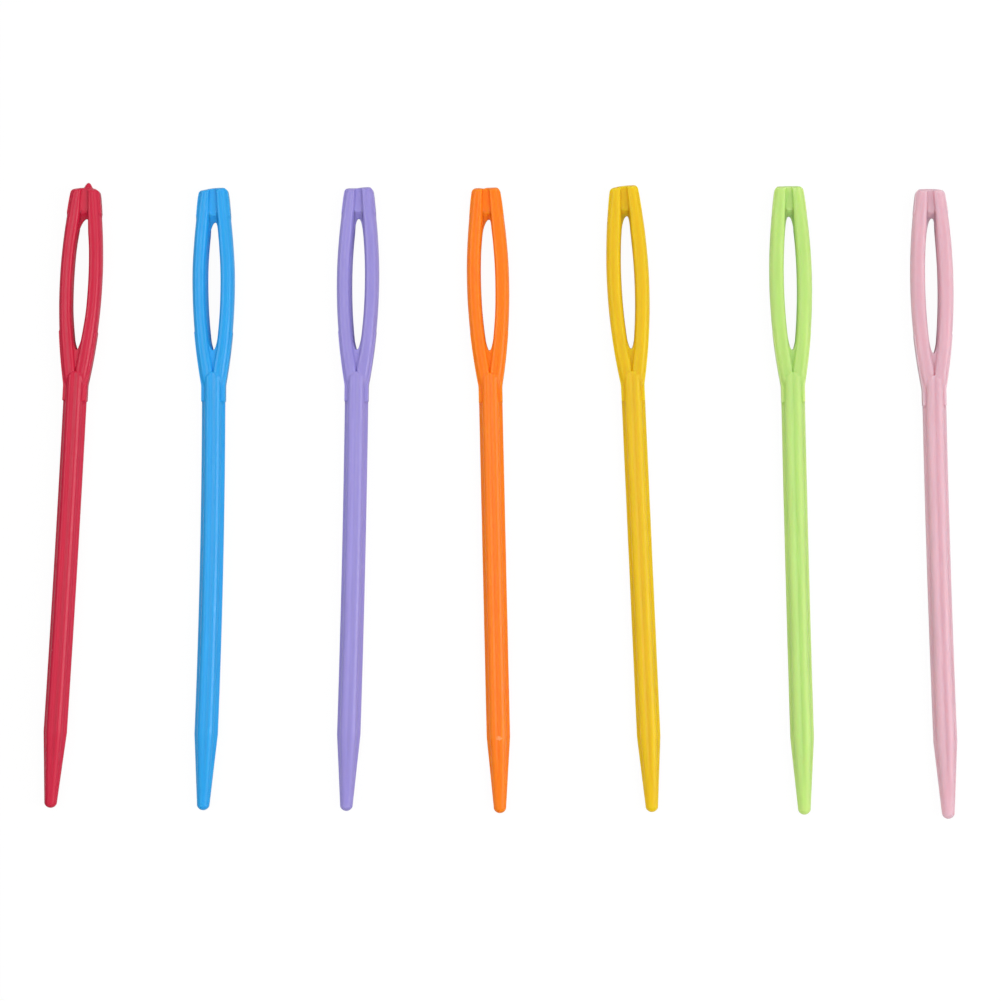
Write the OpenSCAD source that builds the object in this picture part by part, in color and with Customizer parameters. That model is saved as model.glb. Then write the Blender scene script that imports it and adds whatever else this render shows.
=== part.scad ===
// Set of seven yarn needles, each a one-piece injection moulding.
// A needle is a six-fluted bar with a round blunt tip. At the head the bar splits into two
// strands that bow round a long eye and come together again at a squared-off end.
// Units are millimetres. The needles lie flat on z = 0, heads towards +Y, in a row along X.

/* [Shaft] */
// Length of a needle from the head end to the tip
needle_length = 90; // [70:1:120]
// Width of the shaft over two opposite lobes
shaft_d = 3.4; // [2.8:0.1:4.4]
// Depth of a flute below the circle through the lobes
flute_depth = 0.25; // [0.15:0.05:0.4]
// Distance from the head end to the start of the shaft bar, between the strands
root_at = 26.6; // [24.5:0.1:27.5]
// Radius at which the chamfer on the start of the bar begins
root_r = 1.25; // [0.9:0.05:1.4]
// Length of that chamfer
root_chamfer = 0.9; // [0.4:0.1:1.5]

/* [Tip] */
// Length of the tapered tip
tip_length = 11; // [7:0.5:18]
// Width of the tip just before its round end
tip_d = 1.7; // [1.2:0.1:2.4]

/* [Eye] */
// Width of the head over both strands where it is widest
eye_w = 6.1; // [5:0.1:8]
// Distance from the head end to the widest place
eye_at = 13.5; // [12:0.1:15]
// Distance from the head end to the place where the strands run into the sides of the shaft
neck_at = 28.6; // [28:0.1:31]
// Width of one strand
strand_w = 2.1; // [1.8:0.05:2.3]
// Thickness of one strand, a little under the shaft's
strand_h = 2.8; // [2.2:0.05:2.95]
// Depth of the shallow flute along the top of a strand
strand_flute = 0.05; // [0:0.01:0.1]
// Where the eye's pointed upper end begins, from the head end
arch_at = 7.5; // [6:0.1:9]
// Length of that pointed end
arch_point = 3.2; // [2:0.1:4]
// Where the eye's pointed lower end begins, from the head end
heel_at = 21; // [19:0.1:22]
// Length of that pointed end
heel_point = 2.4; // [1.5:0.1:3.5]

/* [Webs] */
// Thickness of the recessed webs that close the eye above and below
web_t = 1.9; // [1:0.05:2.2]
// Thickness of the upper web's edge at the eye
web_edge = 0.4; // [0.2:0.05:0.8]
// Distance from the head end to the ramp that thins the upper web towards the eye
ramp_at = 3.4; // [2.5:0.1:4]
// Length of that ramp
ramp_l = 1.2; // [0.5:0.1:2]
// Width of the recess between the strands at the head end
recess_w = 0.8; // [0.5:0.05:1.1]

/* [Head end] */
// Radius of the two corners of the head end, seen from above
corner_r = 0.7; // [0.3:0.05:1]
// Radius of the head end's crown, seen from the side
crown_r = 2.4; // [1.8:0.1:6]
// Height of the trimmed moulding gate left on the red needle
gate_h = 0.9; // [0.2:0.1:1.2]
// Width of that gate where it leaves the head end
gate_d = 1.2; // [0.5:0.1:1.4]
// Distance of the gate from the needle's axis
gate_off = 0.3; // [0:0.05:0.6]

/* [Lie of each needle] */
// Distance from one needle to the next along the row
pitch = 20.2; // [15:0.1:30]
// Head end's place across and along from its even one, lean of the head, bend of the shaft
red_lie = [1.1, 0.3, -3, -0.8]; // [-5:0.1:5]
// Same four values for the blue needle
blue_lie = [-0.5, 0.2, 0, -2.4]; // [-5:0.1:5]
// Same four values for the purple needle
purple_lie = [0.4, 0.2, -0.7, -1.2]; // [-5:0.1:5]
// Same four values for the orange needle
orange_lie = [-1.5, 0, 1.3, 0]; // [-5:0.1:5]
// Same four values for the yellow needle
yellow_lie = [-1.9, 0.2, 2.6, 0]; // [-5:0.1:5]
// Same four values for the green needle
green_lie = [1.5, 0, 1.2, 0.6]; // [-5:0.1:5]
// Same four values for the pink needle
pink_lie = [1.4, -0.5, 1.2, 1.2]; // [-5:0.1:5]

/* [Hidden] */

MIDDLE = 3;           // place of the middle needle, counted from 0 at the red one
LOBES = 6;            // lobes, and flutes, round the shaft's section
LOBE_STEPS = 8;       // points that draw one lobe
ARC_STEPS = 10;       // flats along a bent bar or a strand where a curve is drawn with flats
SIDE_STEPS = 9;       // points that draw a quarter of a strand's section or of the eye's ends
OUTER_POWER = 2.5;    // roundness of a strand's outer side, where 2 is an ellipse
INNER_POWER = 5;      // the same for its side towards the eye, which is nearly upright
INNER_SPREAD = 2.2;   // how strongly that side's points gather on the strand's top
ARCH_POWER = 1.8;     // roundness of the eye's upper end, where 2 is an ellipse
HEEL_POWER = 1.5;     // the same for its lower end
DIP_SHARE = 0.45;     // half the width of a strand's flute, in half widths of the strand
ROUND = 32;           // facets of a round pin, cone or ball
CROWN_FACETS = 96;    // facets of the wide drum that crowns the head end
CUT = 1;              // how far a cutter runs past what it cuts
SEAT = 0.05;          // how far a cutter's edge stands inside the wall that it runs out on
HAIR = 0.01;          // step too small to feel, which keeps two surfaces from coinciding
OVERRUN = 0.9;        // how far a strand runs on inside the shaft, in strand widths
GATE_ROOT = 0.4;      // how much the gate widens into the head end, in corner radii
GATE_TOP = 0.25;      // width of the gate where it broke off, in widths at its foot

taper_at = needle_length - tip_length;
bar_l = taper_at - root_at;

// One lobed outline of width 1 either side of the axis: radius 1 on a lobe, less in a flute
function lobe_radius(a) = 1 - 2 * flute_depth / shaft_d * pow(sin(LOBES / 2 * a), 2);
unit_outline = [for (i = [0 : LOBES * LOBE_STEPS - 1])
    let (a = i * 360 / (LOBES * LOBE_STEPS)) lobe_radius(a) * [cos(a), sin(a)]];
unit_top = max([for (p = unit_outline) p.y]);
shaft_h = shaft_d * unit_top;

// Each strand's centre line is one arc: widest at eye_at, and at neck_at its outer side
// reaches the side of the shaft
strand_mid = (eye_w - strand_w) / 2;
strand_drop = (eye_w - shaft_d) / 2;
strand_r = (pow(neck_at - eye_at, 2) + pow(strand_drop, 2)) / (2 * strand_drop);
strand_end = neck_at + strand_w * OVERRUN;

// Distance of a strand's centre line from the needle's axis, at s from the head end
function strand_off(s) = strand_mid - strand_r + sqrt(pow(strand_r, 2) - pow(s - eye_at, 2));
// Half the gap between the strands at s
function half_gap(s) = strand_off(s) - strand_w / 2;
// Angle along a strand's arc at s
function strand_angle(s) = asin((eye_at - s) / strand_r);

// Point of a strand's upper outline at angle a from its outer side: a superellipse, less
// the flute on its top
function strand_point(a) =
    let (power = cos(a) > 0 ? OUTER_POWER : INNER_POWER,
         x = sign(cos(a)) * pow(abs(cos(a)), 2 / power),
         dip = strand_flute * (1 + cos(180 * min(abs(x) / DIP_SHARE, 1))) / 2)
    [x * strand_w / 2, pow(sin(a), 2 / power) * strand_h / 2 - dip];
strand_top = [
    for (i = [0 : SIDE_STEPS]) strand_point(90 * i / SIDE_STEPS),
    for (i = [1 : SIDE_STEPS]) strand_point(90 + 90 * pow(i / SIDE_STEPS, INNER_SPREAD))];
strand_outline = concat(strand_top,
    [for (i = [len(strand_top) - 2 : -1 : 1]) [strand_top[i].x, -strand_top[i].y]]);

// The six-lobed outline at any width and height
module lobed(w, h)
    polygon([for (p = unit_outline) [p.x * w / 2, p.y / unit_top * h / 2]]);

// A cutter or piece drawn upwards from z = 0 is laid along the needle from s towards the tip
module along(s) translate([0, -s, 0]) rotate([90, 0, 0]) children();

// Places children at the far end of a bar of length l that turns by bend
module at_bar_end(l, bend) {
    r = bend == 0 ? 0 : l * 180 / (PI * bend);
    step = bend == 0 ? [0, -l, 0] : [r * (1 - cos(bend)), -r * sin(bend), 0];
    translate(step) rotate(bend) children();
}

// Bar of the shaft's section from the origin towards -Y, turning by bend on the way
module bent_bar(l, bend) {
    turn = abs(bend);
    r = turn == 0 ? 0 : l * 180 / (PI * turn);
    if (turn == 0) along(0) linear_extrude(l) lobed(shaft_d, shaft_h);
    else mirror([bend < 0 ? 1 : 0, 0, 0]) translate([r, 0, 0])
        rotate_extrude(angle = turn, start = 180, $fn = ceil(ARC_STEPS * 360 / turn))
            translate([r, 0]) lobed(shaft_d, shaft_h);
}

// Tapered tip: the lobed section shrinks along it, and a ball rounds its end. It takes over
// from the bar a hair wider and a little early, so that the bar's end is buried in it
module tip() {
    at_end = tip_d / shaft_d;
    ball_r = tip_d / 2 + SEAT * 2;
    intersection() {
        along(-SEAT) linear_extrude(tip_length + SEAT, scale = at_end)
            lobed(shaft_d + 2 * HAIR, shaft_h + 2 * HAIR);
        union() {
            along(tip_length - ball_r) sphere(ball_r, $fn = ROUND);
            along(-CUT) cylinder(r = shaft_d, h = tip_length - ball_r + CUT, $fn = ROUND);
        }
    }
}

// Space that the bar may fill: a cone that chamfers its start, then ample room for its bend
module bar_space() along(0) rotate_extrude($fn = ROUND)
    polygon([[0, -HAIR], [root_r, -HAIR], [shaft_d / 2 + SEAT, root_chamfer],
        [2 * shaft_d, root_chamfer + shaft_d], [2 * shaft_d, bar_l + CUT], [0, bar_l + CUT]]);

// Shaft bar, chamfered where it starts between the strands, and its tip
module shaft(bend) translate([0, -root_at, 0]) {
    intersection() {
        bent_bar(bar_l, bend);
        bar_space();
    }
    at_bar_end(bar_l, bend) tip();
}

// One strand on the +X side, from past the head end to inside the shaft
module strand() {
    a0 = strand_angle(strand_end);
    a1 = strand_angle(-CUT);
    translate([strand_mid - strand_r, -eye_at, 0])
        rotate_extrude(angle = a1 - a0, start = a0, $fn = ceil(ARC_STEPS * 360 / (a1 - a0)))
            translate([strand_r, 0]) polygon(strand_outline);
}

// Cutter for one pointed end of the eye, which starts at s and reaches on by long, towards
// the head end or, with down = 1, towards the tip. It is drawn as a superellipse and stands
// a little inside the strands' walls
module eye_end(s, long, power, down) {
    half = half_gap(s) + SEAT;
    translate([0, -s, -web_t]) mirror([0, down, 0]) linear_extrude(2 * web_t)
        polygon([for (i = [0 : 2 * SIDE_STEPS]) let (a = i * 90 / SIDE_STEPS)
            [half * sign(cos(a)) * pow(abs(cos(a)), 2 / power), long * pow(sin(a), 2 / power)]]);
}

// Web drawn by its side view, a list of [s, half thickness] from the head end down
module web(side, w) {
    outline = concat(side, [for (i = [len(side) - 1 : -1 : 0]) [side[i].x, -side[i].y]]);
    translate([-w / 2, 0, 0]) rotate([90, 0, 90]) linear_extrude(w)
        polygon([for (p = outline) [-p.x, p.y]]);
}

// The upper web with its ramp and the plain lower one, both cut to the eye's outline
module webs() {
    t = web_t / 2;
    difference() {
        web([[-CUT, t], [ramp_at, t], [ramp_at + ramp_l, web_edge / 2], [arch_at, web_edge / 2]],
            2 * strand_off(0));
        eye_end(arch_at + HAIR, arch_point + HAIR, ARCH_POWER, 0);
    }
    difference() {
        web([[heel_at, t], [root_at + root_chamfer, t]], 2 * strand_off(root_at));
        eye_end(heel_at - HAIR, heel_point + HAIR, HEEL_POWER, 1);
    }
}

// Cutter for the recess between the strands, from the head end to where their own arcs
// leave as much room
module recess() {
    wide = half_gap(arch_at) - SEAT;
    linear_extrude(2 * strand_h, center = true)
        polygon([[-recess_w / 2, CUT], [recess_w / 2, CUT], [wide, -arch_at], [-wide, -arch_at]]);
}

// Cutter that trims one corner of the head end round, seen from above
module corner_cutter() {
    x = half_gap(corner_r) + strand_w - corner_r;
    translate([0, 0, -strand_h]) linear_extrude(2 * strand_h) difference() {
        translate([x, -corner_r]) square(corner_r + CUT);
        translate([x, -corner_r]) circle(corner_r, $fn = ROUND);
    }
}

// Space behind the crowned head end
module crown_space() {
    translate([0, -crown_r, 0]) rotate([0, 90, 0])
        cylinder(r = crown_r, h = 2 * eye_w, center = true, $fn = CROWN_FACETS);
    translate([-eye_w, -needle_length, -crown_r]) cube([2 * eye_w, needle_length - crown_r, 2 * crown_r]);
}

// The head: two strands, their webs and the trimmed end
module head() intersection() {
    difference() {
        union() {
            difference() {
                union() {
                    strand();
                    mirror([1, 0, 0]) strand();
                }
                recess();
            }
            webs();
        }
        corner_cutter();
        mirror([1, 0, 0]) corner_cutter();
    }
    crown_space();
}

// One whole needle in place i of the row, laid down with lie = [across, along, lean, bend]
module needle(i, lie) laid(i, lie) {
    head();
    shaft(lie[3]);
}

// Turns children by the lean and puts them down at place i of the row
module laid(i, lie)
    translate([(i - MIDDLE) * pitch + lie.x, needle_length / 2 + lie.y, shaft_h / 2])
        rotate(lie.z) children();

// Trimmed stub of the moulding gate on the head end
module gate_stub() translate([gate_off, -corner_r, 0]) rotate([-90, 0, 0])
    cylinder(r1 = gate_d / 2 + corner_r * GATE_ROOT, r2 = gate_d / 2 * GATE_TOP,
        h = gate_h + corner_r, $fn = ROUND);

module red_needle() color("#cd384d") {
    needle(0, red_lie);
    laid(0, red_lie) gate_stub();
}
module blue_needle() color("#3f9fe3") needle(1, blue_lie);
module purple_needle() color("#9c90d7") needle(2, purple_lie);
module orange_needle() color("#fc8428") needle(3, orange_lie);
module yellow_needle() color("#ecc331") needle(4, yellow_lie);
module green_needle() color("#bfe382") needle(5, green_lie);
module pink_needle() color("#e5b6c3") needle(6, pink_lie);

red_needle();
blue_needle();
purple_needle();
orange_needle();
yellow_needle();
green_needle();
pink_needle();
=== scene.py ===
# %% [markdown]
# # Plastic yarn needles in Blender
#
# A plastic yarn needle is one small injection moulding: a fluted shaft with a round blunt tip
# that splits at the head into two strands round a long eye. Children and knitters use it to
# sew with wool, so nothing on it is sharp. Seven of them lie side by side on white paper.
#
# The engineering model comes in first. It gives the frame and the box that everything has
# to stay in. Then each needle is drawn again as one finer skin, with the small marks that
# the mould leaves, and gets its own plastic.

# %% Load the engineering model
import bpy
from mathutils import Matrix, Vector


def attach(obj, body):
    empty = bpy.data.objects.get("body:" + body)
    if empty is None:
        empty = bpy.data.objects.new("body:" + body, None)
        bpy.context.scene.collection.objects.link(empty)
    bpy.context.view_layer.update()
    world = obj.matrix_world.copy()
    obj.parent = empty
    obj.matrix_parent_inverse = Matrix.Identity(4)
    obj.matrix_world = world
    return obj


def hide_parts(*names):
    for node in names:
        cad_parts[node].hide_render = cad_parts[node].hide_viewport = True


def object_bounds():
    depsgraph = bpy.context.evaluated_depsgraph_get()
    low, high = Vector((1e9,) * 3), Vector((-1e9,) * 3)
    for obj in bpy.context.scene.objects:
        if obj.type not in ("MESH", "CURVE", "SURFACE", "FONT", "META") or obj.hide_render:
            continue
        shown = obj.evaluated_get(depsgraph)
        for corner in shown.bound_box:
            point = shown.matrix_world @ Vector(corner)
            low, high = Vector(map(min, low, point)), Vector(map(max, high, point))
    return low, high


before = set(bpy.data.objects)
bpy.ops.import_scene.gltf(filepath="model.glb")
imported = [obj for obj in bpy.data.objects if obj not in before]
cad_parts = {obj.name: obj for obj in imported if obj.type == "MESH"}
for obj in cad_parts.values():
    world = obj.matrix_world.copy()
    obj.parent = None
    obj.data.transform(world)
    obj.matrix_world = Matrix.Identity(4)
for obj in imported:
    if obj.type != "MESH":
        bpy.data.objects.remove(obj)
cad_box = [list(corner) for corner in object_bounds()]

import bpy
import numpy as np
from mathutils import Matrix

MM = 0.001
print("nodes:", sorted(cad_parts))
print("engineering model, mm:", [[round(v / MM, 2) for v in c] for c in cad_box])

# %% [markdown]
# ## Sizes of a needle
#
# The lengths are in millimetres. `s` always means the distance from the head end, measured
# along the needle, and `x` the distance across it. The mould that makes such needles parts
# in the plane of the drawing, so everything is the same above and below that plane, and the
# skin can be described by one number: how high it stands above the plane at each (x, s).

# %% Sizes
LENGTH = 90.0
SHAFT_HALF = 1.7          # from the axis to the top of a lobe
FLUTE = 0.46 / 3.4        # depth of a flute as a share of that radius
EYE_WIDEST_AT = 13.5
STRAND_MID = 2.0          # strand's centre line to the axis, at the widest place
STRAND_HALF = 1.05
STRAND_TOP = 1.4          # height of a strand's crest over the parting plane
STRAND_FLUTE = 0.05       # depth of the shallow flute along a strand
ROUNDNESS = (2.5, 5.0)    # powers of a strand's outer and inner side; 2 would be an ellipse
NECK_AT = 28.6            # the strands' outer sides reach the shaft's sides here
ARCH_AT, HEEL_AT = 7.5, 21.0    # the eye's two pointed ends begin here
ARCH_POINT, HEEL_POINT = 3.3, 2.4    # lengths of those two ends
ARCH_POWER, HEEL_POWER = 2.3, 2.3    # roundness of their outlines; 2 would be an ellipse
WEB_TOP = 0.95            # height of the webs that close the eye's ends
RAMP_AT, RAMP_END = 3.4, 4.6    # the upper web slopes down to the eye between these
WEB_EDGE = 0.2            # height of its edge at the eye
RECESS = (0.43, 0.034)    # half the recess's width at the head end, and its growth per mm
ROOT_AT = 26.6            # the round shaft begins between the strands here
TAPER_AT = 79.0
TIP_SCALE = 0.5
BALL = 0.95               # radius of the round tip
SHAFT_TOP = float(cad_box[1][2] + cad_box[0][2]) / MM / 2    # height of the axis

drop = STRAND_MID + STRAND_HALF - SHAFT_HALF
ARC = ((NECK_AT - EYE_WIDEST_AT) ** 2 + drop ** 2) / (2 * drop)


def strand_centre(s):
    """Distance of a strand's centre line from the axis: one arc of radius ARC."""
    return STRAND_MID - ARC + np.sqrt(ARC ** 2 - (np.clip(s, 0, 34) - EYE_WIDEST_AT) ** 2)


def half_gap(s):
    """Distance of a strand's inner side from the axis: that of the recess between the
    strands at the head end, then that of the strands' own arcs."""
    return np.maximum(strand_centre(s) - STRAND_HALF, (RECESS[0] + RECESS[1] * s) * (s < 10))


print("radius of the strands' arc, mm:", round(ARC, 1))

# %% [markdown]
# ## The lobed section
#
# Cut across, the shaft is a soft six-petalled rosette. The flutes save plastic and let the
# needle cool evenly, and a finger holds them well. In polar form its radius dips by a cubed
# sine, three waves in half a turn. The skin needs the height over a given distance across, so
# the rosette is walked once and kept as a table against the arc cosine of that distance,
# which spreads its steep sides out and makes the table smooth.

# %% The lobed section
def petals(angle):
    """Radius of the rosette: 1 on a lobe, 1 - FLUTE in a flute, as a sine cubed, which
    makes the lobes wider than the flutes."""
    return 1 - FLUTE * np.abs(np.sin(3 * angle)) ** 3


quarter = np.linspace(0, np.pi / 2, 361)
table_x = np.arccos(np.clip(petals(quarter) * np.cos(quarter), -1, 1))
table_z = petals(quarter) * np.sin(quarter)
CLEAR = 0.002             # the skin stays this far under the engineering model's top
CREST = (SHAFT_TOP - CLEAR) / SHAFT_HALF
table_z = table_z * CREST / table_z.max()


def lobed(u, fluted=1.0):
    """Height of the section over distance u from its middle, in half widths. It is the
    rosette's height where fluted is 1 and a circle's where it is 0, and falls below zero
    outside, so that a taller neighbour always wins there."""
    u = np.abs(u)
    inside = np.arccos(np.minimum(u, 1))
    rosette = np.interp(inside, table_x, table_z)
    circle = CREST * np.sin(inside)
    return fluted * rosette + (1 - fluted) * circle - 4 * np.maximum(u - 1, 0)


def rise(x, start, end):
    """Smooth step: 0 before start, 1 after end."""
    t = np.clip((x - start) / (end - start), 0, 1)
    return t * t * (3 - 2 * t)


def smooth_max(a, b, k):
    """The larger of two heights, with the corner between them filled to k wide."""
    return np.maximum(a, b) + np.maximum(k - np.abs(a - b), 0) ** 2 / (4 * k)


def strand_section(v):
    """Height of a strand at v half widths from its middle, positive outwards, in strand
    heights: a superellipse, rounder outside and nearly upright towards the eye, with a
    shallow flute as one cosine wave along its top."""
    power = np.where(v > 0, *ROUNDNESS)
    side = 1 - np.minimum(np.abs(v), 1) ** power
    flute = STRAND_FLUTE / STRAND_TOP * (1 + np.cos(np.pi * np.clip(v / 0.45, -1, 1))) / 2
    return side ** (1 / power) - flute - 4 * np.maximum(np.abs(v) - 1, 0)


def even_steps(across, height, count):
    """Places across a section, 0 at its outer end and 1 at its inner, that lie at even
    steps along its outline, found from the running length of the outline."""
    length = np.concatenate([[0], np.cumsum(np.hypot(np.diff(across), np.diff(height)))])
    places = np.interp(np.linspace(0, length[-1], count + 1), length, across)
    return (places[0] - places) / (places[0] - places[-1])


print("height of the shaft's section over its width:", round(CREST, 3))

# %% [markdown]
# ## The needle as a height over the parting plane
#
# Four forms are put together: two strands, the recessed webs at both ends of the eye, and
# the shaft. Each is a height over (x, s), and a smooth maximum joins them, which also leaves
# the small fillets that a mould has in its corners. The upper web slopes down to the eye, so
# the yarn doesn't catch, and the shaft starts with a low arched step between the strands.

# %% Heights of the four forms
FILLET = 0.1              # width of the fillets where two forms meet
WEB_NOSE = 0.06           # roundness of a web's edge at the eye
STRANDS_END = 31.0        # the strands have sunk into the shaft here
START_BOW, START_ROUND = 0.08, 0.3    # the shaft's start: how arched it is, and how long
DOME = (1.4, 0.4)         # radius of the dome over that start, and its growth per mm
FLUTES_FADE = (81, 88.5)  # the flutes run out on the taper between these
CROWN = 2.4               # radius of the rounding over the head end


def web_height(x, s):
    """Flat webs of WEB_TOP. Both end in a nose at the eye's pointed outline, a superellipse
    whose half width is the gap between the strands, and the upper one has a ramp before it.
    The nose rises with the distance from the outline, taken along the ray from its middle."""
    out = np.full(np.broadcast(x, s).shape, -1.0)
    way = np.clip((RAMP_END - s) / (RAMP_END - RAMP_AT), 0, 1)
    ramp = WEB_EDGE + (WEB_TOP - WEB_EDGE) * way ** 2
    ends = ((ARCH_AT, ARCH_POINT, ARCH_POWER, s <= ARCH_AT, ramp),
            (HEEL_AT, HEEL_POINT, HEEL_POWER, s >= HEEL_AT, WEB_TOP))
    for at, point, power, zone, top in ends:
        half = np.maximum(half_gap(s), 0.05)
        ring = np.abs(x / half) ** power + np.abs((s - at) / point) ** power
        away = (1 - 1 / np.maximum(ring, 1) ** (1 / power)) * np.hypot(x, s - at)
        nose = np.hypot(6 * away, np.sqrt(2 * WEB_NOSE * away))
        flat = -smooth_max(-nose, -top, 0.06)
        out = np.where(zone & (s < STRANDS_END), np.maximum(flat, 0), out)
    return out


def shaft_height(x, s):
    """The lobed section, shrinking along the taper, with a chamfered and arched start."""
    scale = 1 - (1 - TIP_SCALE) * np.clip((s - TAPER_AT) / (LENGTH - TAPER_AT), 0, 1)
    ball = np.sqrt(np.maximum(BALL ** 2 - np.maximum(s - LENGTH + BALL, 0) ** 2, 1e-9))
    half = np.minimum(SHAFT_HALF * scale, np.where(s > LENGTH - BALL, ball, 9))
    fluted = 1 - 0.85 * rise(s, *FLUTES_FADE)
    height = half * lobed(x / half, fluted)
    start = np.clip((s - ROOT_AT + 0.1 - START_BOW * x ** 2) / START_ROUND, 0, 1)
    dome = DOME[0] + DOME[1] * np.maximum(s - ROOT_AT, 0)
    dome = np.sqrt(np.maximum(dome ** 2 - x ** 2, 0))
    height = np.where(s < ROOT_AT + 2, np.minimum(height, dome), height)
    return np.where(start > 0, height * np.sqrt(1 - (1 - start) ** 2), -1), half


def needle_height(x, s):
    """Smooth maximum of strands, webs and shaft, under the crowned head end."""
    top = STRAND_TOP * (1 - 0.45 * rise(s, ROOT_AT, STRANDS_END))
    off = [side * x - strand_centre(s) for side in (1, -1)]
    inner = strand_centre(s) - half_gap(s)
    strands = [top * strand_section(d / np.where(d > 0, STRAND_HALF, inner)) for d in off]
    strands = [np.where(s < STRANDS_END, strand, -1) for strand in strands]
    height = smooth_max(*strands, FILLET)
    height = smooth_max(height, web_height(x, s), FILLET)
    height = smooth_max(height, shaft_height(x, s)[0], FILLET)
    crown = np.sqrt(np.maximum(CROWN ** 2 - np.maximum(CROWN - s, 0) ** 2, 0))
    height = -smooth_max(-height, -crown, 0.2)
    return np.clip(height, 0, SHAFT_TOP - CLEAR)


middle = needle_height(np.zeros(3), np.array([2.0, 24.0, 50.0]))
print("heights over the middle of the upper web, lower web and shaft, mm:", middle.round(2))

# %% [markdown]
# ## The grid that carries the skin
#
# Rows run across the needle and are set close where the form changes quickly. Columns run
# along it: from the outer edge over one strand to the eye, across the middle, and over the
# other strand. They follow the strand's own angle, so the steep sides get as many as the
# crest. In the eye the middle columns are left out, and the rows beside it are bowed into
# its round ends. Above and below share their points along every edge, so the skin is closed.

# %% Rows and columns
STEPS = 44                # columns over one strand
MIDDLE = 12               # columns between the strands
WEB_END = 26.3            # the lower web ends here, just above the shaft's start
# (from, to, rows) along the needle
stretches = [(0.7, ARCH_AT, 64), (ARCH_AT, HEEL_AT, 46), (HEEL_AT, WEB_END, 50),
             (WEB_END, 27.6, 26), (27.6, STRANDS_END, 24), (STRANDS_END, TAPER_AT, 92),
             (TAPER_AT, LENGTH - BALL, 40)]
head_rows = 0.7 * (1 - np.cos(np.linspace(0, np.pi / 2, 13)))
tip_rows = LENGTH - BALL + BALL * np.sin(np.linspace(0, np.pi / 2, 17))
ROWS = np.unique(np.round(np.concatenate(
    [head_rows, tip_rows[:-1]] + [np.linspace(a, b, n + 1) for a, b, n in stretches]), 6))
ARCH_ROW = int(np.argmin(np.abs(ROWS - ARCH_AT)))
HEEL_ROW = int(np.argmin(np.abs(ROWS - HEEL_AT)))
EDGE = 0.02               # how far the parting line stands out
CORNER = 0.7              # radius of the head end's corners


def outer_edge(s):
    """Half the width of the needle at s: the strand's outer side, then the shaft's."""
    strand = np.where(s < STRANDS_END, strand_centre(s) + STRAND_HALF, 0)
    return smooth_max(strand, shaft_height(0 * s, s)[1], 0.05)


def inner_edge(s):
    """Half the width of the middle block at s: the eye or web, and a sliver further down."""
    sliver = np.minimum(0.05, (outer_edge(s) - EDGE) * 0.05)
    return np.where(s < STRANDS_END, np.maximum(half_gap(s), sliver), sliver)


def columns(s):
    """Across positions of the right half's columns at rows s, from the outer edge inwards,
    at even steps over the strand, and over the shaft further down."""
    v = np.cos(np.linspace(0, np.pi, 4001))
    over_strand = even_steps(v, STRAND_TOP / STRAND_HALF * strand_section(v), STEPS)
    over_shaft = even_steps(petals(quarter) * np.cos(quarter), table_z, STEPS)
    way = rise(s, HEEL_AT, 30)
    outer = outer_edge(s) - EDGE
    return outer - (outer - inner_edge(s)) * ((1 - way) * over_strand + way * over_shaft)


def grid():
    """x and s of every point of the upper skin. The middle block's rows bow towards the
    head end over the eye and towards the tip under it, along the eye's own outline."""
    s = ROWS[:, None]
    right = columns(s)
    k = np.linspace(0, np.pi, MIDDLE + 1)[None, 1:-1]
    power = np.where(s < EYE_WIDEST_AT, ARCH_POWER, HEEL_POWER)
    bow = HEEL_POINT * np.clip((WEB_END - s) / (WEB_END - HEEL_AT), 0, 1) * (s >= HEEL_AT)
    bow = bow - ARCH_POINT * np.clip(s / ARCH_AT, 0, 1) * (s <= ARCH_AT)
    bow = bow * np.sin(k) ** (2 / power)
    middle_x = inner_edge(s + bow) * np.sign(np.cos(k)) * np.abs(np.cos(k)) ** (2 / power)
    x = np.hstack([right, middle_x, -right[:, ::-1]])
    along = np.hstack([s + 0 * right, s + bow, s + 0 * right])
    return x, along


GRID_X, GRID_S = grid()
SHARED = np.zeros(GRID_X.shape, bool)     # points that the upper and the lower skin share
SHARED[:, [0, -1]] = True
SHARED[0] = True
SHARED[ARCH_ROW:HEEL_ROW + 1, STEPS:STEPS + MIDDLE + 1] = True
print("rows and columns:", GRID_X.shape)

# %% [markdown]
# ## Points and faces of one closed skin
#
# The lower skin is the upper one turned over. Where both meet, along the outer sides, round
# the eye and at the head end, they use the same points, and the tip closes in one point.

# %% Points and faces
def skin_faces():
    """Index arrays of the quads, and of the triangles round the tip's last point."""
    rows, cols = GRID_X.shape
    upper = np.arange(rows * cols).reshape(rows, cols)
    lower = np.where(SHARED, upper, upper + rows * cols)
    cell = np.ones((rows - 1, cols - 1), bool)
    cell[ARCH_ROW:HEEL_ROW, STEPS:STEPS + MIDDLE] = False
    quads = []
    for skin, turn in ((upper, 1), (lower, -1)):
        q = np.stack([skin[:-1, :-1], skin[:-1, 1:], skin[1:, 1:], skin[1:, :-1]], -1)
        quads.append(q[cell][:, ::turn])
    pole = np.full(cols - 1, 2 * rows * cols)
    fan = [np.stack([upper[-1, :-1], upper[-1, 1:], pole], -1),
           np.stack([lower[-1, 1:], lower[-1, :-1], pole], -1)]
    return np.vstack(quads), np.vstack(fan)


QUADS, FAN = skin_faces()
print("faces of one needle:", len(QUADS) + len(FAN))

# %% [markdown]
# ## Marks of the mould, and the lie of each needle
#
# Where the two halves of the mould meet, a line of plastic a few hundredths of a millimetre
# high runs round the needle. The plastic went in at the head end, and there each needle was
# twisted or cut off its runner, so no two ends are quite alike: one slopes, one has a dip,
# and the red one keeps a stub of the runner. The needles also came out of the mould warm
# and took a little bend, all in the shaft. The numbers say where each one lies.

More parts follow.
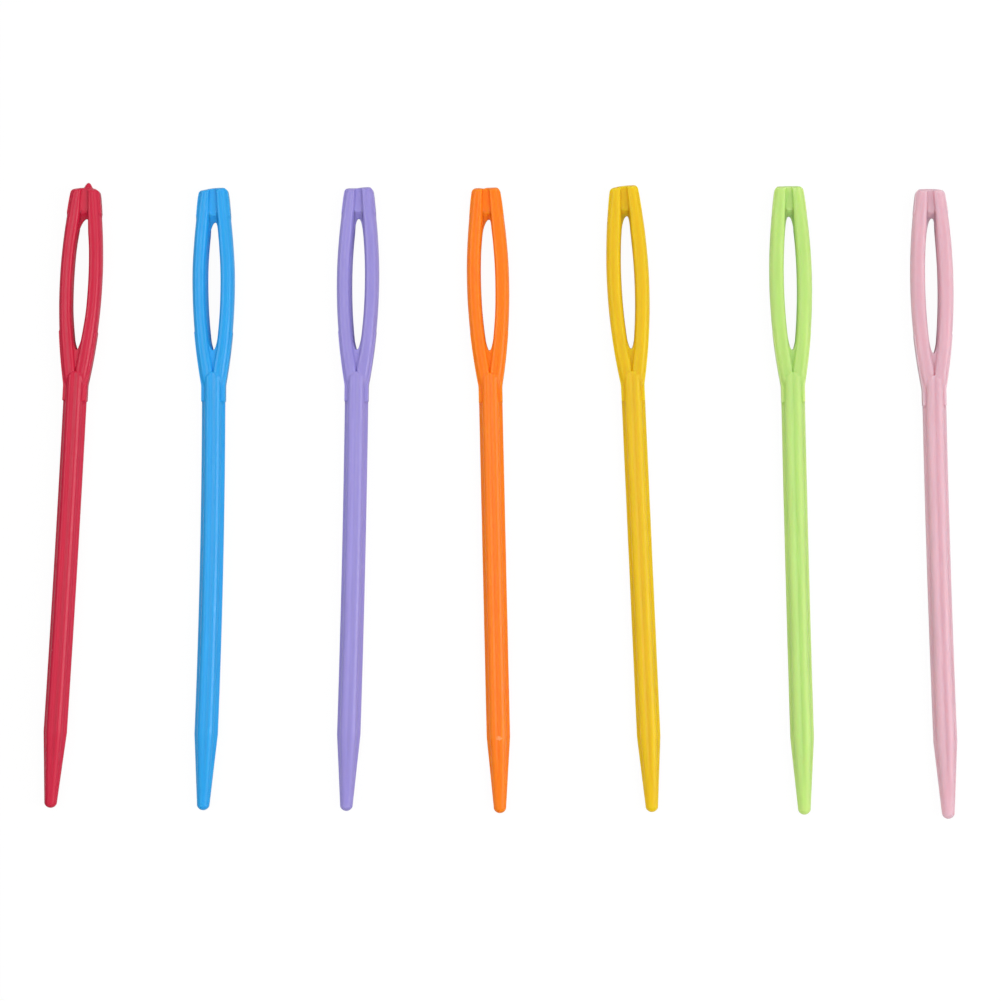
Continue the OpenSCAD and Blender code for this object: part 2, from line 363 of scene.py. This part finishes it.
# %% Where each needle lies, and how its head end was trimmed
# across and along (mm), lean and bend (degrees), then trims of the head end as
# (x, width, depth in mm): a wide one slopes a corner and a narrow one makes a dip
NEEDLES = {
    "red": (-59.5, 45.3, -3, -0.8, [(-2.4, 1.3, 0.35), (2.4, 1.0, 0.3)]),
    "blue": (-40.9, 45.2, 0, -2.4, [(-2.6, 1.9, 0.5)]),
    "purple": (-19.8, 45.2, -0.7, -1.2, [(-2.4, 1.5, 0.25), (-0.4, 0.9, 0.15)]),
    "orange": (-1.5, 45, 1.3, 0, [(-0.35, 0.4, 0.1), (-2.3, 0.8, 0.12)]),
    "yellow": (18.3, 45.2, 2.6, 0, [(-2.6, 1.6, 0.4)]),
    "green": (41.9, 45, 1.2, 0.6, [(2.4, 0.9, 0.15)]),
    "pink": (62, 44.5, 1.2, 1.2, [(2.5, 1.3, 0.3)]),
}
# the eye in mm: how much wider it is than drawn, how far its upper point is moved down and
# to the right, and its draft, by which each side leans back at the top
EYES = {"red": (0.45, 0.35, 0.4, 0), "blue": (0.1, 0.85, 0.25, 0.17),
        "purple": (0.1, 0.4, 0, 0.17), "orange": (0.2, 0.4, 0.35, 0.03),
        "yellow": (0.05, 0.2, 0.25, 0.1), "green": (0, 0.15, -0.1, 0.08),
        "pink": (0, 0, 0.2, 0.12)}
GATE = {"red": (0.36, 0.62, 0.74)}     # the runner's stub: x, half width and height in mm


print("needles:", list(NEEDLES))

# %% [markdown]
# ## The points of one needle
#
# The height field is made into one needle of its own: first its eye is moved into shape,
# then its sides and its head end, and last the whole is laid along the needle's bent line.

# %% The points of one needle
def wander(seed, s, pitch):
    """A slow random wave along s, of about one swing in each pitch, between -1 and 1."""
    knots = np.random.default_rng(seed).uniform(-1, 1, int(LENGTH / pitch) + 4)
    return np.interp(s / pitch, np.arange(len(knots)), knots)


def own_eye(x, s, name):
    """Moves the points round the eye to one needle's own: its sides out, by a share that
    falls to none at the strand's outer side, its upper point aside by a cosine squared, and
    lower. Also gives each point's shift sideways at the strand's full height, the draft."""
    wider, lower, aside, draft = EYES[name]
    gap, outer = np.maximum(half_gap(s), 0.05), outer_edge(s)
    share = np.minimum(np.abs(x) / gap, 1) * np.clip((outer - np.abs(x)) / (outer - gap), 0, 1)
    slant = share * np.sign(x) * draft * rise(s, 2, 5) * (1 - rise(s, 23, 26))
    x = x + np.sign(x) * wider / 2 * share * rise(s, 2, 9) * (1 - rise(s, 17, 24))
    pointed = rise(s, 1, 4.2) * (1 - rise(s, 4.2, 9))
    x = x + aside * pointed * np.cos(np.minimum(np.abs(x) / gap / 1.5, 1) * np.pi / 2) ** 2
    s = s + lower * rise(s, 1.5, 4) * (1 - rise(s, 7.5, 13))
    return x, s, slant


def outer_sides(x, s, seed):
    """Draws the sides in along a quarter circle of CORNER at the head end, and pushes both
    edges out by EDGE times a slow wave, for the parting line."""
    cut = CORNER - np.sqrt(CORNER ** 2 - np.maximum(CORNER - s, 0) ** 2)
    x = x * (1 - cut / np.maximum(np.abs(x[:, :1]), 0.2))
    line = EDGE * (0.55 + 0.4 * wander(seed, s[:, 0], 3.0)) * rise(s[:, 0], 0, 1)
    line = line * (1 - rise(s[:, 0], 87, 89))
    x[:, 0] += line
    x[:, -1] -= line
    return x


def head_end(x, s, z, name):
    """How far points move along the needle at the head end: down by the trims, each a bell
    curve across, and up by the stub, a paraboloid. Both die away along the needle."""
    trims = NEEDLES[name][-1]
    push = sum(d * np.exp(-((x - at) / w) ** 2) for at, w, d in trims)
    push = np.broadcast_to(push * np.exp(-np.maximum(s, 0) / 0.9), z.shape).copy()
    if name in GATE:
        at, w, high = GATE[name]
        away = np.hypot((x - at) / w, z / (w * 1.2))
        push -= high * np.maximum(1 - away ** 2, 0) * np.exp(-s / 0.5)
    return push


def needle_points(name, seed):
    """Points of one needle: the height field and its mirror, with the needle's own eye,
    sides and head end, all carried along its own bent line."""
    height = np.where(SHARED, 0, needle_height(GRID_X, GRID_S))
    z = np.stack([height, -height])
    x, s, slant = own_eye(GRID_X, GRID_S, name)
    x = outer_sides(x, s, seed)
    push = head_end(x, s, z, name)
    points = np.stack([x + slant * z / STRAND_TOP, s + push, z], -1).reshape(-1, 3)
    points = np.vstack([points, [[0, LENGTH, 0]]])
    return lay(points, *NEEDLES[name][:4])


def lay(points, across, along, lean, bend):
    """Carries (x, s, z) along a line whose heading turns by bend over the shaft. The line
    is the running sum of its heading, and x stays square to it."""
    step = 0.1
    s = np.arange(-10, LENGTH * 10 + 11) * step
    heading = np.radians(lean + bend * np.clip((s - ROOT_AT) / (TAPER_AT - ROOT_AT), 0, 1))
    line = [np.concatenate([[0], np.cumsum((f[1:] + f[:-1]) / 2 * step)])
            for f in (np.sin(heading), -np.cos(heading))]
    line = [f - np.interp(0, s, f) for f in line]
    at = points[:, 1]
    angle = np.interp(at, s, heading)
    return np.stack([across + np.interp(at, s, line[0]) + points[:, 0] * np.cos(angle),
                     along + np.interp(at, s, line[1]) + points[:, 0] * np.sin(angle),
                     SHAFT_TOP + points[:, 2]], -1)


print("points of one needle:", len(needle_points("red", 0)))

# %% [markdown]
# ## The mesh
#
# Whole arrays go straight into Blender's mesh. A map called lengthwise tells the material
# where a point lies across and along its needle, so that streaks follow a bent one too.

# %% The mesh
def make_mesh(name, points):
    """A mesh from the points and the two face arrays, with unused points left out, and a
    map that says where each point lies across and along the needle, in metres."""
    used = np.unique(np.concatenate([QUADS.ravel(), FAN.ravel()]))
    new = np.zeros(len(points), np.int64)
    new[used] = np.arange(len(used))
    mesh = bpy.data.meshes.new(name)
    loops = new[np.concatenate([QUADS.ravel(), FAN.ravel()])]
    sizes = np.repeat([4, 3], [len(QUADS), len(FAN)])
    mesh.vertices.add(len(used))
    mesh.vertices.foreach_set("co", (points[used] * MM).ravel())
    mesh.loops.add(len(loops))
    mesh.loops.foreach_set("vertex_index", loops.astype(np.int32))
    mesh.polygons.add(len(sizes))
    starts = np.concatenate([[0], np.cumsum(sizes)[:-1]])
    mesh.polygons.foreach_set("loop_start", starts.astype(np.int32))
    mesh.update(calc_edges=True)
    mesh.validate()
    mesh.shade_smooth()
    flat = np.stack([GRID_X, GRID_S], -1).reshape(-1, 2)
    flat = np.vstack([flat, flat, [[0, LENGTH]]])[used] * MM
    mesh.uv_layers.new(name="lengthwise").data.foreach_set("uv", flat[loops].ravel())
    return mesh


# %% [markdown]
# ## Colours
#
# The colours are written as they look on a screen and turned to linear light once.

# %% Colours
def linear(hex_colour):
    """sRGB hex to linear RGBA: the usual straight foot and 2.4 power."""
    c = np.array([int(hex_colour[i:i + 2], 16) for i in (1, 3, 5)]) / 255
    c = np.where(c <= 0.04045, c / 12.92, ((c + 0.055) / 1.055) ** 2.4)
    return (*c.tolist(), 1.0)


# each needle's colour, how many mm light goes into it, its roughness and its shine
COLOURS = {"red": ("#cf2043", 0.4, 0.35, 0.35), "blue": ("#24a4e8", 0.4, 0.33, 0.38),
           "purple": ("#998fd3", 0.5, 0.33, 0.4), "orange": ("#fb8007", 1.5, 0.37, 0.33),
           "yellow": ("#e0bb0a", 2.5, 0.42, 0.3), "green": ("#b7d97d", 2.5, 0.42, 0.3),
           "pink": ("#d7aeba", 2.5, 0.4, 0.3)}

print("colours:", {name: row[0] for name, row in COLOURS.items()})

# %% [markdown]
# ## One node at a time
#
# A material is a chain of nodes, and this function adds one with its settings and links.

# %% One node at a time
def add(nodes, kind, settings=None, links=None, **fields):
    """Adds one node: fields are its properties, settings its socket values by name or
    number, and links the sockets that feed its own."""
    node = nodes.new(kind)
    for key, value in fields.items():
        setattr(node, key, value)
    for key, value in (settings or {}).items():
        node.inputs[key].default_value = value
    for key, source in (links or {}).items():
        nodes.id_data.links.new(source, node.inputs[key])
    return node


# %% [markdown]
# ## Moulded polypropylene
#
# Yarn needles are moulded in polypropylene with a little colour mixed in. It lets some light
# in, which softens its edges, and has a satin shine with broad highlights. The plastic is
# streaked faintly along its flow, and its roughness wanders a little, because loose needles
# rub in the bag. The mould was polished lengthwise, which leaves lines a few hundredths of a
# millimetre apart; they are drawn 0.15 mm apart here, because finer ones wouldn't show.

# %% Moulded polypropylene
FLOW = (0.9, 14)          # width and length of a flow streak in mm
POLISH = (0.15, 6)        # width and length of a polish line in mm
PEEL = 0.7                # size of the skin's soft unevenness in mm
RELIEF = 0.002            # its height in mm


def moulded_polypropylene(name, hex_colour, clear, rough, shine, marks):
    """Satin plastic of one colour that lets light about clear mm in, with flow streaks,
    polish lines and the small marks given as (x, y, radius in mm, colour)."""
    material = bpy.data.materials.new(name + " moulded polypropylene")
    material.use_nodes = True
    nodes = material.node_tree.nodes
    nodes.clear()
    where = add(nodes, "ShaderNodeUVMap", uv_map="lengthwise").outputs[0]
    streak_at = add(nodes, "ShaderNodeMapping", {"Scale": (1 / FLOW[0], 1 / FLOW[1], 1)},
                    {"Vector": where}).outputs[0]
    streak = add(nodes, "ShaderNodeTexNoise", {"Scale": 1 / MM, "Detail": 3.0},
                 {"Vector": streak_at}).outputs["Fac"]
    tone = add(nodes, "ShaderNodeMapRange", {1: 0.3, 2: 0.7, 3: 0.955, 4: 1.045},
               {0: streak}).outputs[0]
    colour = add(nodes, "ShaderNodeMix", {0: 1.0, 6: linear(hex_colour)}, {7: tone},
                 data_type="RGBA", blend_type="MULTIPLY").outputs[2]
    place = add(nodes, "ShaderNodeTexCoord").outputs["Object"]
    crumbs = add(nodes, "ShaderNodeTexNoise", {"Scale": 1 / (0.35 * MM), "Detail": 2.0},
                 {"Vector": place}).outputs["Fac"]
    for x, y, radius, mark in marks:
        spot = add(nodes, "ShaderNodeVectorMath", {1: (x * MM, y * MM, 2 * SHAFT_TOP * MM)},
                   {0: place}, operation="DISTANCE").outputs["Value"]
        ragged = add(nodes, "ShaderNodeMath", {1: 2 * radius * MM}, {0: crumbs, 2: spot},
                     operation="MULTIPLY_ADD").outputs[0]
        fade = add(nodes, "ShaderNodeMapRange", {1: 1.8 * radius * MM, 2: 1.4 * radius * MM,
                   3: 0.0, 4: 1.0}, {0: ragged}).outputs[0]
        colour = add(nodes, "ShaderNodeMix", {7: linear(mark)}, {0: fade, 6: colour},
                     data_type="RGBA").outputs[2]
    peel = add(nodes, "ShaderNodeTexNoise", {"Scale": 1 / (PEEL * MM), "Detail": 1.0},
               {"Vector": place}).outputs["Fac"]
    dull = add(nodes, "ShaderNodeMapRange", {1: 0.3, 2: 0.7, 3: rough - 0.05, 4: rough + 0.05},
               {0: peel}).outputs[0]
    line_at = add(nodes, "ShaderNodeMapping", {"Scale": (1 / POLISH[0], 1 / POLISH[1], 1)},
                  {"Vector": where}).outputs[0]
    lines = add(nodes, "ShaderNodeTexNoise", {"Scale": 1 / MM, "Detail": 1.0},
                {"Vector": line_at}).outputs["Fac"]
    relief = add(nodes, "ShaderNodeMath", {1: 0.5}, {0: lines, 2: peel},
                 operation="MULTIPLY_ADD").outputs[0]
    bump = add(nodes, "ShaderNodeBump", {"Strength": 1.0, "Distance": RELIEF * MM},
               {"Height": relief}).outputs[0]
    plastic = add(nodes, "ShaderNodeBsdfPrincipled",
                  {"IOR": 1.49, "Subsurface Weight": min(1, 0.3 + 0.3 * clear),
                   "Subsurface Scale": clear * MM, "Specular IOR Level": shine,
                   "Subsurface Radius": (1.0, 0.8, 0.7)},
                  {"Base Color": colour, "Roughness": dull, "Normal": bump})
    add(nodes, "ShaderNodeOutputMaterial", links={"Surface": plastic.outputs[0]})
    return material


# small marks as (x, y, radius in mm, colour): a pale nick, a dark speck and a scuff of use,
# and on the blue one a pale dot in the groove near the head end
MARKS = {
    "red": [(-64.4, -21.7, 0.3, "#f0c4cc")],
    # a pale dot in the groove near the head end
    "blue": [(-41.05, 43.7, 0.25, "#c8e4fa")],
    "green": [(42.15, 42.96, 0.25, "#8aa850")],
    "orange": [(0.4, -34.1, 0.5, "#ffa566")],
}

# %% [markdown]
# ## Make the needles
#
# Each skin stands for its node of the engineering model and rides on the one body that the
# row has.

# %% Make the needles
for seed, name in enumerate(NEEDLES):
    mesh = make_mesh(name + "_needle_skin", needle_points(name, seed))
    mesh.materials.append(moulded_polypropylene(name, *COLOURS[name], MARKS.get(name, [])))
    skin = bpy.data.objects.new(name + "_needle_skin", mesh)
    bpy.context.scene.collection.objects.link(skin)
    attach(skin, "root")
    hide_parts(name + "_needle")
    size = np.ptp(np.array([v.co for v in mesh.vertices]), axis=0) / MM
    print(name, "needle, mm:", size.round(2), "triangles:", 2 * len(QUADS) + len(FAN))

# %% [markdown]
# ## White paper
#
# The needles were photographed from above on white paper. The camera sees it as plain white,
# with a small share of its real shading, so that the needles keep a soft shadow. For the
# light that it throws back on the needles it is an ordinary matt sheet.

# %% White paper
PLAIN_SHARE = 0.92        # how much of what the camera sees is plain white
PLAIN_LIGHT = 1.035       # its strength; a little over 1 makes up for the shaded share
PAPER_HALF = 600          # half a side of the sheet in mm


def paper():
    """White paper: mostly plain white to the camera, with a share of its real shading."""
    material = bpy.data.materials.new("white matt paper")
    material.use_nodes = True
    nodes = material.node_tree.nodes
    nodes.clear()
    rays = add(nodes, "ShaderNodeLightPath")
    share = add(nodes, "ShaderNodeMath", {1: PLAIN_SHARE}, {0: rays.outputs["Is Camera Ray"]},
                operation="MULTIPLY").outputs[0]
    real = add(nodes, "ShaderNodeBsdfDiffuse", {"Color": linear("#d8d8d8")}).outputs[0]
    white = add(nodes, "ShaderNodeEmission", {"Strength": PLAIN_LIGHT}).outputs[0]
    mix = add(nodes, "ShaderNodeMixShader", {}, {0: share, 1: real, 2: white}).outputs[0]
    add(nodes, "ShaderNodeOutputMaterial", links={"Surface": mix})
    return material


sheet = bpy.data.meshes.new("paper")
half = PAPER_HALF * MM
sheet.from_pydata([(-half, -half, 0), (half, -half, 0), (half, half, 0), (-half, half, 0)],
                  [], [(0, 1, 2, 3)])
sheet.materials.append(paper())
floor = bpy.data.objects.new("paper", sheet)
bpy.context.scene.collection.objects.link(floor)
print("paper, mm:", [round(v / MM) for v in floor.dimensions])

# %% [markdown]
# ## Softboxes
#
# Each shaft carries two soft ridges of light, a strong one on its right crest and a fainter
# one on its left. They come from two long lamps, one on each side of the row.

# %% Softboxes
def lamp(name, place, size, watts):
    """An area lamp of (width, length), in metres, that faces the middle of the row."""
    data = bpy.data.lights.new(name, "AREA")
    data.shape, data.energy = "RECTANGLE", watts
    data.size, data.size_y = size
    made = bpy.data.objects.new(name, data)
    made.location = place
    made.rotation_euler = made.location.to_track_quat("Z", "Y").to_euler()
    bpy.context.scene.collection.objects.link(made)
    print(name, "from the row, mm:", round(made.location.length / MM), "watts:", watts)


lamp("near softbox", (0.5, -0.06, 0.48), (0.18, 0.6), 2.0)
lamp("far softbox", (-0.42, 0.1, 0.55), (0.18, 0.6), 1.1)

# %% [markdown]
# ## Black card
#
# In the photograph the left flanks of the three needles at the left are darker than those
# of the others, which a dark card standing beside the paper would do. The camera doesn't
# see the card here.

# %% Black card
def black_card(x, reach, tall):
    """An upright card at x that runs reach to both sides and stands tall, all in mm."""
    mesh = bpy.data.meshes.new("black card")
    corners = [(x, -reach, 0), (x, reach, 0), (x, reach, tall), (x, -reach, tall)]
    mesh.from_pydata([tuple(v * MM for v in c) for c in corners], [], [(0, 1, 2, 3)])
    black = bpy.data.materials.new("black card")
    black.use_nodes = True
    plain = black.node_tree.nodes["Principled BSDF"]
    plain.inputs["Base Color"].default_value = linear("#181818")
    mesh.materials.append(black)
    card = bpy.data.objects.new("black card", mesh)
    card.visible_camera = False
    bpy.context.scene.collection.objects.link(card)
    print("black card at x, mm:", x, "height:", tall)


black_card(-112, 160, 50)

# %% [markdown]
# ## Light tent
#
# Light comes from all round, less from low down and little from straight above, where the
# camera is. The ramps of the needles' heads look away from the heads' side and are darker in
# the photograph, so the tent is lighter on that side.

# %% Light tent
HEADWARD = 0.4            # how much lighter the tent is at the heads' side
BANDS = ((0.1, 0.1), (0.5, 0.9), (0.88, 0.9), (0.97, 0.2))    # (height of the look, light)

world = bpy.data.worlds.new("light tent")
world.use_nodes = True
tent = world.node_tree.nodes
look = add(tent, "ShaderNodeTexCoord").outputs["Generated"]
way = add(tent, "ShaderNodeSeparateXYZ", links={0: look}).outputs
bands = add(tent, "ShaderNodeValToRGB", links={0: way["Z"]})
for _ in BANDS[2:]:
    bands.color_ramp.elements.new(0.5)
for element, (up, light) in zip(bands.color_ramp.elements, BANDS):
    element.position, element.color = up, (light, light, light, 1)
lean = add(tent, "ShaderNodeMath", {1: HEADWARD, 2: 1.0}, {0: way["Y"]},
           operation="MULTIPLY_ADD").outputs[0]
world.node_tree.links.new(bands.outputs["Color"], tent["Background"].inputs["Color"])
world.node_tree.links.new(lean, tent["Background"].inputs["Strength"])
bpy.context.scene.world = world
bpy.context.scene.view_settings.view_transform = "Standard"
print("bands of the tent:", len(BANDS))

# %% [markdown]
# ## Camera
#
# The outer needles' inner sides show in the photograph, so the camera stood close, about
# 400 mm above the row and 2.6 degrees to the right of its middle. The focal length makes a
# 90 mm needle as long in the picture as it is there.

# %% Camera
IMAGE = 1001              # side of the picture in pixels
DISTANCE, YAW, FOCAL_PIXELS = 400.0, np.radians(2.6), 2780.0
AIM_X = 0.6               # the camera looks this far right of the row's middle, in mm
camera_data = bpy.data.cameras.new("camera")
camera_data.sensor_width = 36.0
camera_data.lens = 36.0 * FOCAL_PIXELS / IMAGE
camera_data.clip_start, camera_data.clip_end = 0.01, 10
camera = bpy.data.objects.new("camera", camera_data)
back = np.array([np.sin(YAW), 0, np.cos(YAW)])
right = np.array([np.cos(YAW), 0, -np.sin(YAW)])
turn = Matrix(np.stack([right, [0, 1, 0], back], axis=1).tolist())
camera.location = (np.array([AIM_X, 0, SHAFT_TOP]) + DISTANCE * back) * MM
camera.rotation_euler = turn.to_euler()
bpy.context.scene.collection.objects.link(camera)
bpy.context.scene.camera = camera
print("camera, mm:", [round(v / MM, 1) for v in camera.location])
